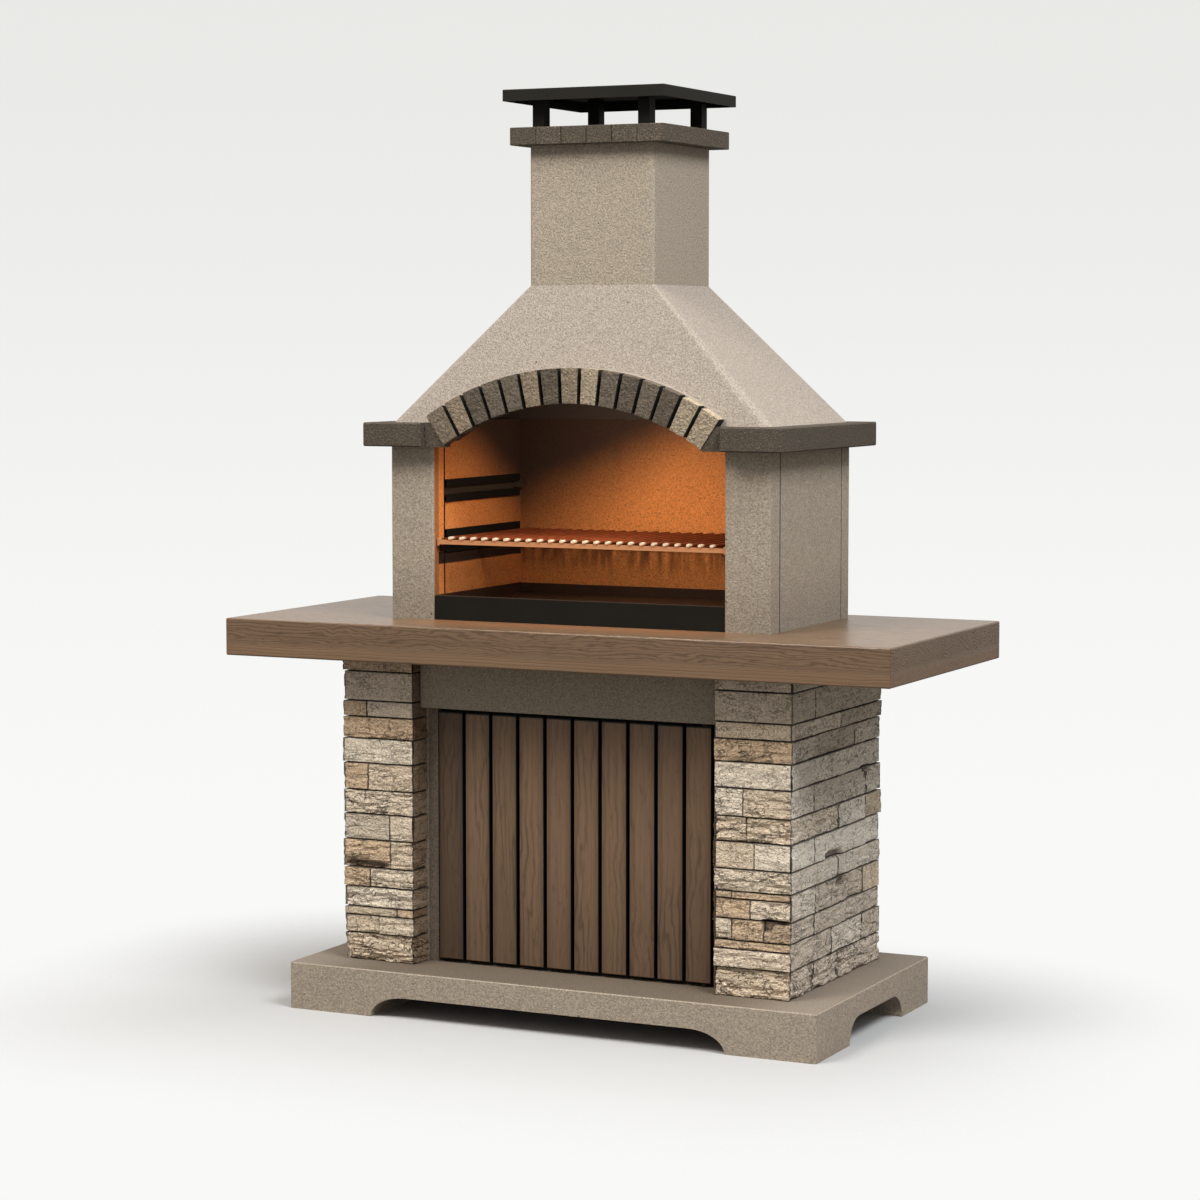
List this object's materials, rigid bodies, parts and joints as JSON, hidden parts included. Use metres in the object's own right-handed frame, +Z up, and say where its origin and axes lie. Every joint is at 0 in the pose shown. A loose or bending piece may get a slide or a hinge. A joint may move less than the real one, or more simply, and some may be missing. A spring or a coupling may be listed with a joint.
{
  "type": "garden barbecue",
  "caption": "Free-standing masonry barbecue: stone-faced piers, slatted door, timber worktop, arched firebox with sliding grate and ember tray, tapered hood, chimney and cowl.",
  "frame": {"origin": "on the ground under the middle of the object's box", "axes": "+Z up, front towards -Y, +X to the right as seen from the front"},
  "size_m": [1.636, 0.71, 2.103],
  "materials": {
    "concrete": "fine speckled cast concrete, warm grey-beige",
    "facing_stone": "rough-hewn ledge stone in cream, tan and grey",
    "dark_stone": "grainy dark grey-brown cut stone",
    "firebrick": "orange refractory, sooted towards the hood",
    "mortar": "dark mortar",
    "black_steel": "matt black heat-proof paint",
    "grate_steel": "heat-tinted bare steel",
    "timber": "oiled brown timber, satin",
    "black_board": "black stained board",
    "bright_steel": "zinc plated",
    "bronze": "plain sintered",
    "magnet": "matt"
  },
  "bodies": {
    "masonry": {"plinth": "concrete", "left_pier_core": "concrete", "right_pier_core": "concrete", "left_pier_stones": "facing_stone", "right_pier_stones": "facing_stone", "lintel": "concrete", "left_jamb": "concrete", "right_jamb": "concrete", "bay_rear_panel": "concrete", "door_pivot_bushes": "bronze", "catch_magnet": "magnet", "worktop": "timber", "hearth_slab": "firebrick", "left_front_pillar": "concrete", "right_front_pillar": "concrete", "left_side_panel": "concrete", "right_side_panel": "concrete", "left_rear_post": "concrete", "right_rear_post": "concrete", "rear_wall": "concrete", "left_jamb_lining": "firebrick", "right_jamb_lining": "firebrick", "left_side_lining": "firebrick", "right_side_lining": "firebrick", "rear_lining": "firebrick", "left_lower_rail": "black_steel", "right_lower_rail": "black_steel", "left_upper_rail": "black_steel", "right_upper_rail": "black_steel", "rail_lugs": "bright_steel", "left_mantel": "dark_stone", "right_mantel": "dark_stone", "rear_mantel": "dark_stone", "hood": "concrete", "arch_mortar": "mortar", "arch_voussoirs": "dark_stone", "chimney": "concrete", "left_collar_slab": "dark_stone", "right_collar_slab": "dark_stone", "rear_collar_slab": "dark_stone", "collar_bricks": "dark_stone", "cowl_posts": "black_steel", "cowl_lid": "black_steel"},
    "door": {"door_board": "black_board", "door_slat_01": "timber", "door_slat_02": "timber", "door_slat_03": "timber", "door_slat_04": "timber", "door_slat_05": "timber", "door_slat_06": "timber", "door_slat_07": "timber", "door_slat_08": "timber", "door_slat_09": "timber", "door_slat_10": "timber", "slat_nails": "bright_steel", "door_pivot_pins": "bright_steel", "strike_plate": "bright_steel"},
    "cooking_grate": {"grate_frame": "grate_steel", "grate_rods": "grate_steel"},
    "tray": {"ember_tray": "black_steel"}
  },
  "joints": [
    {"name": "door_hinge", "type": "hinge", "parent": "masonry", "child": "door", "pos_m": [0.324, -0.1905, 0.4], "axis": [0, 0, 1], "range_deg": [0, 100]},
    {"name": "grate_slide", "type": "slide", "parent": "masonry", "child": "cooking_grate", "axis": [0, -1, 0], "range_m": [0, 0.25]},
    {"name": "tray_slide", "type": "slide", "parent": "masonry", "child": "tray", "axis": [0, -1, 0], "range_m": [0, 0.25]}
  ]
}
